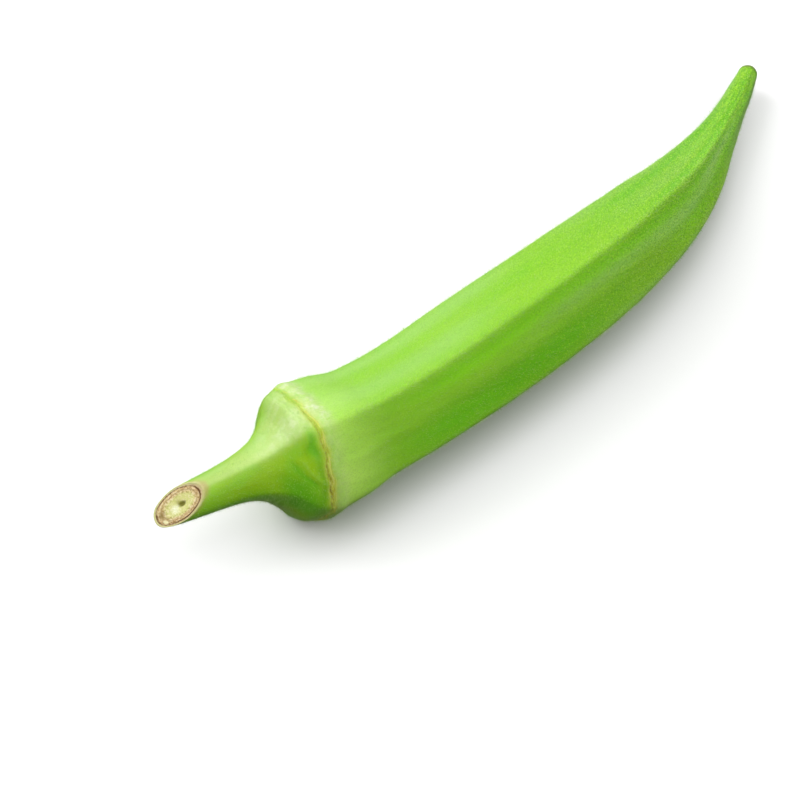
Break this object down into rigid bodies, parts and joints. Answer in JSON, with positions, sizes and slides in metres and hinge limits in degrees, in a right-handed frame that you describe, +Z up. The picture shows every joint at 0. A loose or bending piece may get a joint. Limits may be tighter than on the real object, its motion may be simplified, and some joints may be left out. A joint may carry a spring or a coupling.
{
  "type": "okra pod",
  "caption": "Fresh green okra pod as picked, five-ridged and gently curved, lying on a surface with its stalk cut on a slant.",
  "frame": {"origin": "bottom centre of the bounding box, on the surface the pod lies on", "axes": "+X from the cut stalk to the tip, +Y towards the inside of the curve, +Z up"},
  "size_m": [0.1378, 0.0258, 0.018],
  "materials": {
    "pod_skin": "satin, finely hairy",
    "cut_flesh": "dull, damp",
    "scar_cork": "dull, fibrous",
    "pod_hair": "pale translucent hairs"
  },
  "bodies": {
    "root": {"okra_pod": "pod_skin"}
  },
  "joints": []
}
